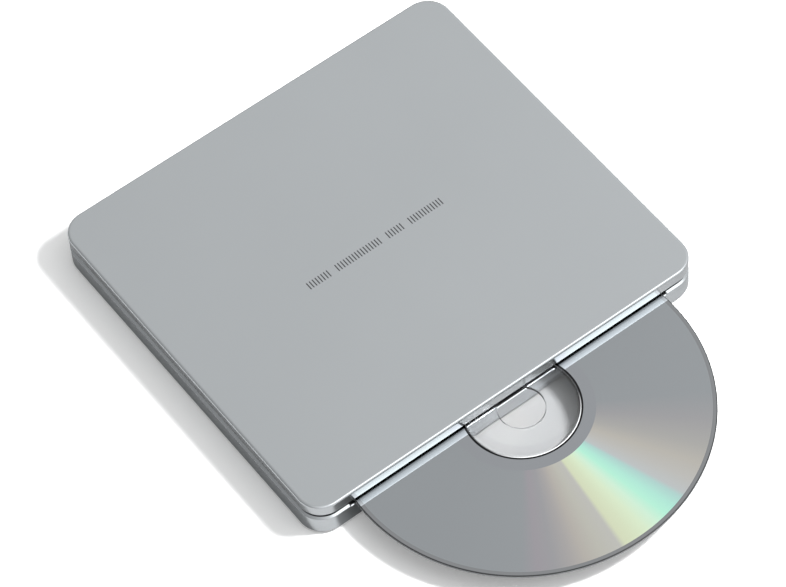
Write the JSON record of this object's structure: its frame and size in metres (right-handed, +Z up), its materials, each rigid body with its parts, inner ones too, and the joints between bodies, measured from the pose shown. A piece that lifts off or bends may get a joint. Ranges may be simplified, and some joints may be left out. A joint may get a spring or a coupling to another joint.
{
  "type": "external optical drive",
  "caption": "Slim slot-loading external optical drive in a flat aluminium case, with its loading, spindle and pickup mechanism inside and a disc half ejected from the front slot.",
  "frame": {"origin": "centre of the case's footprint, on the desk plane the feet stand on", "axes": "+Z up; -Y out of the slot, towards the user; +X to the right when facing the slot"},
  "size_m": [0.1494, 0.2031, 0.015],
  "materials": {
    "lid_aluminium": "satin bead-blasted, very fine grain",
    "tub_silver": "satin silver, fine grain",
    "black_plastic": "fine matte moulding",
    "felt": "short dense pile",
    "rubber": "matte moulded",
    "sheet_steel": "zinc-plated sheet",
    "dark_steel": "dark nickel-plated",
    "brass": "turned",
    "board": "glass-epoxy laminate with solder mask",
    "chip": "moulded epoxy",
    "white_plastic": "acetal, slightly waxy",
    "disc": "clear polycarbonate over a reflective metal layer",
    "lens": "coated",
    "flex": "polyimide film"
  },
  "bodies": {
    "case": {"top_cover": "lid_aluminium", "bottom_case": "tub_silver", "inner_frame": "black_plastic", "usb_tongue": "black_plastic", "disc_guide_left": "black_plastic", "disc_guide_right": "black_plastic", "motor_bracket": "black_plastic", "slot_felt_upper": "felt", "slot_felt_lower": "felt", "foot_front_left": "rubber", "foot_front_right": "rubber", "foot_rear_left": "rubber", "foot_rear_right": "rubber", "case_screw_front_left": "dark_steel", "case_screw_front_right": "dark_steel", "case_screw_rear_left": "dark_steel", "case_screw_rear_right": "dark_steel", "pan_screw_front_left": "dark_steel", "pan_screw_front_right": "dark_steel", "pan_screw_rear_left": "dark_steel", "pan_screw_rear_right": "dark_steel", "board_screw_1": "dark_steel", "board_screw_2": "dark_steel", "loading_motor": "dark_steel", "arm_clip_left": "dark_steel", "arm_clip_right": "dark_steel", "usb_socket": "sheet_steel", "drive_pan": "sheet_steel", "drive_cover": "sheet_steel", "bridge_board": "board", "main_board": "board", "bridge_chip": "chip", "drive_chip": "chip", "pickup_ribbon": "flex"},
    "disc": {"optical_disc": "disc"},
    "eject_lever_left": {"eject_arm_left": "sheet_steel", "arm_pad_left": "white_plastic"},
    "eject_lever_right": {"eject_arm_right": "sheet_steel", "arm_pad_right": "white_plastic"},
    "cam_slider": {"cam_slider": "white_plastic"},
    "worm": {"worm": "brass"},
    "worm_wheel": {"worm_wheel": "white_plastic"},
    "traverse": {"traverse_frame": "dark_steel", "damper_left": "rubber", "damper_right": "rubber", "pickup_rail_left": "sheet_steel", "pickup_rail_right": "sheet_steel", "spindle_motor": "dark_steel", "sled_motor": "dark_steel"},
    "turntable": {"turntable": "black_plastic", "turntable_mat": "rubber"},
    "lead_screw": {"lead_screw": "brass"},
    "pickup": {"pickup_sled": "dark_steel", "laser_unit": "brass"},
    "lens": {"lens_holder": "black_plastic", "objective_lens": "lens"}
  },
  "joints": [
    {"name": "disc_slide", "type": "slide", "parent": "case", "child": "disc", "axis": [0, 1, 0], "range_m": [0, 0.0741]},
    {"name": "eject_lever_left_swing", "type": "hinge", "parent": "case", "child": "eject_lever_left", "pos_m": [-0.059, 0.019, 0.0105], "axis": [0, 0, 1], "range_deg": [0, 82.2]},
    {"name": "eject_lever_right_swing", "type": "hinge", "parent": "case", "child": "eject_lever_right", "pos_m": [0.059, 0.019, 0.0105], "axis": [0, 0, -1], "range_deg": [0, 82.2]},
    {"name": "cam_slide", "type": "slide", "parent": "case", "child": "cam_slider", "axis": [0, 1, 0], "range_m": [0, 0.014]},
    {"name": "traverse_lift", "type": "slide", "parent": "case", "child": "traverse", "axis": [0, 0, 1], "range_m": [0, 0.00171]},
    {"name": "worm_wheel_spin", "type": "hinge", "parent": "case", "child": "worm_wheel", "pos_m": [0.04655, 0.041, 0.006], "axis": [0, 0, 1], "continuous": true},
    {"name": "worm_spin", "type": "hinge", "parent": "case", "child": "worm", "pos_m": [0.054, 0.041, 0.0068], "axis": [0, 1, 0], "continuous": true},
    {"name": "spindle_spin", "type": "hinge", "parent": "traverse", "child": "turntable", "pos_m": [0, 0, 0.006], "axis": [0, 0, 1], "continuous": true},
    {"name": "sled_slide", "type": "slide", "parent": "traverse", "child": "pickup", "axis": [0, -1, 0], "range_m": [0, 0.032]},
    {"name": "lead_screw_spin", "type": "hinge", "parent": "traverse", "child": "lead_screw", "pos_m": [0.0278, -0.03, 0.00495], "axis": [0, -1, 0], "continuous": true},
    {"name": "lens_focus", "type": "slide", "parent": "pickup", "child": "lens", "axis": [0, 0, 1], "range_m": [-0.0004, 0.0004], "stiffness_N_per_m": 40}
  ],
  "couplings": [
    {"joint": "eject_lever_left_swing", "follows": "disc_slide", "rad_per_m": 19.314},
    {"joint": "eject_lever_right_swing", "follows": "disc_slide", "rad_per_m": 19.314},
    {"joint": "traverse_lift", "follows": "cam_slide", "ratio": 0.12143},
    {"joint": "worm_wheel_spin", "follows": "cam_slide", "rad_per_m": -238.1},
    {"joint": "worm_spin", "follows": "cam_slide", "rad_per_m": 4761.9},
    {"joint": "lead_screw_spin", "follows": "sled_slide", "rad_per_m": 2094.4}
  ]
}
